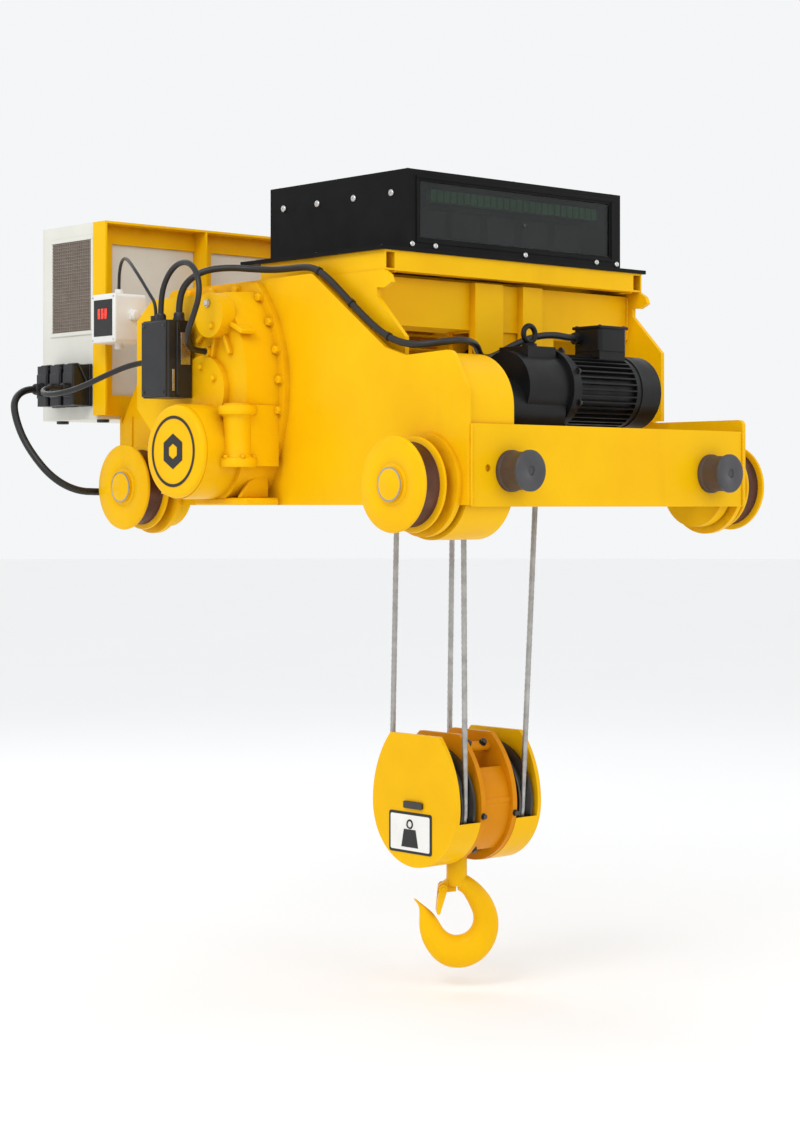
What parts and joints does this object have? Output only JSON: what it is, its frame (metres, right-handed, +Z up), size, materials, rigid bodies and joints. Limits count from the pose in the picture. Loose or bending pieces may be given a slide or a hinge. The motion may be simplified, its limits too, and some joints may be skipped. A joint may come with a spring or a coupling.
{
  "type": "electric wire rope hoist",
  "caption": "Low-headroom hoist trolley on four flanged wheels, with rope drum, geared motors, control box, switch cabinet and a hook block on rope falls.",
  "frame": {"origin": "on the rail tops, at the centre of the four wheel contacts", "axes": "+X along the wheel axles, +Y towards the switch cabinet, +Z up"},
  "size_m": [1.1261, 1.404, 1.6551],
  "materials": {
    "yellow_paint": "gloss enamel",
    "black_sheet": "fine-textured powder coat",
    "black_casting": "satin paint on cast iron",
    "smoked_pane": "smoked",
    "cabinet_sheet": "textured light grey powder coat",
    "white_plastic": "satin",
    "black_plastic": "satin",
    "buffer_rubber": "matte",
    "cable_rubber": "satin",
    "rope_steel": "greased galvanised wire",
    "machined_steel": "machined",
    "cast_sheave": "machined casting"
  },
  "bodies": {
    "trolley": {"bearing_housings": "yellow_paint", "brake_cable": "cable_rubber", "buffers": "buffer_rubber", "cabinet": "cabinet_sheet", "control_base_plate": "black_sheet", "control_box": "black_sheet", "control_box_lid": "black_sheet", "control_window": "smoked_pane", "display_box": "white_plastic", "display_cable": "cable_rubber", "drum_end_cover": "yellow_paint", "equalizer_hanger": "yellow_paint", "front_beam": "yellow_paint", "hoist_gear_case": "yellow_paint", "hoist_motor_housing": "yellow_paint", "hoist_terminal_box": "black_plastic", "left_side_plate": "yellow_paint", "link_cable": "cable_rubber", "motor_cable": "cable_rubber", "panel_frame": "yellow_paint", "plug_connectors": "black_plastic", "rear_axles": "machined_steel", "rear_beam": "yellow_paint", "right_side_plate": "yellow_paint", "rope_falls": "rope_steel", "supply_cable": "cable_rubber", "travel_fan_cowl": "black_casting", "travel_gear_case": "yellow_paint", "travel_motor_housing": "black_casting", "travel_reducer": "black_casting", "travel_terminal_box": "black_sheet", "tray_cross_tubes": "yellow_paint", "tray_side_tubes": "yellow_paint", "upper_cross_beam": "yellow_paint", "upper_plates": "yellow_paint"},
    "front_wheelset": {"front_axle": "machined_steel", "front_wheels": "yellow_paint", "travel_gear": "machined_steel"},
    "rear_left_wheel": {"rear_left_wheel": "yellow_paint"},
    "rear_right_wheel": {"rear_right_wheel": "yellow_paint"},
    "travel_output": {"travel_output_shaft": "machined_steel"},
    "travel_rotor": {"travel_rotor": "machined_steel"},
    "drum": {"drum": "cast_sheave", "drum_shaft": "machined_steel", "rope_windings": "rope_steel"},
    "second_gear": {"second_gear_shaft": "machined_steel"},
    "first_gear": {"first_gear_shaft": "machined_steel"},
    "hoist_rotor": {"hoist_rotor": "machined_steel"},
    "equalizer": {"equalizer_sheave": "cast_sheave"},
    "hook_block": {"block_pin": "machined_steel", "block_cheeks": "yellow_paint", "block_frame": "yellow_paint", "block_ropes": "rope_steel"},
    "left_sheave": {"left_sheave": "cast_sheave"},
    "right_sheave": {"right_sheave": "cast_sheave"},
    "crosshead": {"crosshead": "machined_steel"},
    "hook": {"hook": "yellow_paint", "hook_nut": "machined_steel"},
    "hook_latch": {"hook_latch": "machined_steel"},
    "cabinet_door": {"cabinet_door": "cabinet_sheet"}
  },
  "joints": [
    {"name": "front_wheels_roll", "type": "hinge", "parent": "trolley", "child": "front_wheelset", "pos_m": [0, -0.435, 0.08], "axis": [1, 0, 0], "continuous": true},
    {"name": "travel_output_turn", "type": "hinge", "parent": "trolley", "child": "travel_output", "pos_m": [0, -0.435, 0.228], "axis": [1, 0, 0], "continuous": true},
    {"name": "travel_motor_turn", "type": "hinge", "parent": "trolley", "child": "travel_rotor", "pos_m": [0, -0.435, 0.272], "axis": [1, 0, 0], "continuous": true},
    {"name": "rear_left_roll", "type": "hinge", "parent": "trolley", "child": "rear_left_wheel", "pos_m": [-0.464, 0.435, 0.08], "axis": [1, 0, 0], "continuous": true},
    {"name": "rear_right_roll", "type": "hinge", "parent": "trolley", "child": "rear_right_wheel", "pos_m": [0.464, 0.435, 0.08], "axis": [1, 0, 0], "continuous": true},
    {"name": "drum_turn", "type": "hinge", "parent": "trolley", "child": "drum", "pos_m": [0, 0.118, 0.15], "axis": [1, 0, 0], "range_deg": [-292, 6665]},
    {"name": "second_gear_turn", "type": "hinge", "parent": "trolley", "child": "second_gear", "pos_m": [0, 0.12889, 0.27452], "axis": [1, 0, 0], "continuous": true},
    {"name": "first_gear_turn", "type": "hinge", "parent": "trolley", "child": "first_gear", "pos_m": [0, 0.2448, 0.27912], "axis": [1, 0, 0], "continuous": true},
    {"name": "hoist_motor_turn", "type": "hinge", "parent": "trolley", "child": "hoist_rotor", "pos_m": [0, 0.25, 0.39], "axis": [1, 0, 0], "continuous": true},
    {"name": "hook_lift", "type": "slide", "parent": "trolley", "child": "hook_block", "axis": [0, 0, 1], "range_m": [-5.72, 0.26], "deforming": ["rope_falls"]},
    {"name": "left_sheave_turn", "type": "hinge", "parent": "hook_block", "child": "left_sheave", "pos_m": [-0.084, -0.092, -0.588], "axis": [1, 0, 0], "continuous": true},
    {"name": "right_sheave_turn", "type": "hinge", "parent": "hook_block", "child": "right_sheave", "pos_m": [0.084, -0.092, -0.588], "axis": [1, 0, 0], "continuous": true},
    {"name": "equalizer_rock", "type": "hinge", "parent": "trolley", "child": "equalizer", "pos_m": [0.023, -0.206, 0.275], "axis": [0, 1, 0], "range_deg": [-30, 30]},
    {"name": "crosshead_tilt", "type": "hinge", "parent": "hook_block", "child": "crosshead", "pos_m": [0, -0.092, -0.676], "axis": [1, 0, 0], "range_deg": [-12, 12]},
    {"name": "hook_swivel", "type": "hinge", "parent": "crosshead", "child": "hook", "pos_m": [0, -0.092, -0.8], "axis": [0, 0, 1], "continuous": true},
    {"name": "latch_swing", "type": "hinge", "parent": "hook", "child": "hook_latch", "pos_m": [-0.02298, -0.07272, -0.7735], "axis": [0.6428, 0.766, 0], "range_deg": [-45, 0], "stiffness_Nm_per_rad": 0.4, "springref_deg": 20.05},
    {"name": "cabinet_door_swing", "type": "hinge", "parent": "trolley", "child": "cabinet_door", "pos_m": [0.143, 0.789, 0.45], "axis": [0, 0, 1], "range_deg": [-110, 0]}
  ],
  "couplings": [
    {"joint": "travel_output_turn", "follows": "front_wheels_roll", "ratio": -1.8462},
    {"joint": "travel_motor_turn", "follows": "front_wheels_roll", "ratio": 4.9231},
    {"joint": "second_gear_turn", "follows": "drum_turn", "ratio": -2.5714},
    {"joint": "first_gear_turn", "follows": "drum_turn", "ratio": 8.9011},
    {"joint": "hoist_motor_turn", "follows": "drum_turn", "ratio": -38.148},
    {"joint": "hook_lift", "follows": "drum_turn", "m_per_rad": -0.049},
    {"joint": "left_sheave_turn", "follows": "drum_turn", "ratio": -0.42982},
    {"joint": "right_sheave_turn", "follows": "drum_turn", "ratio": -0.42982}
  ]
}
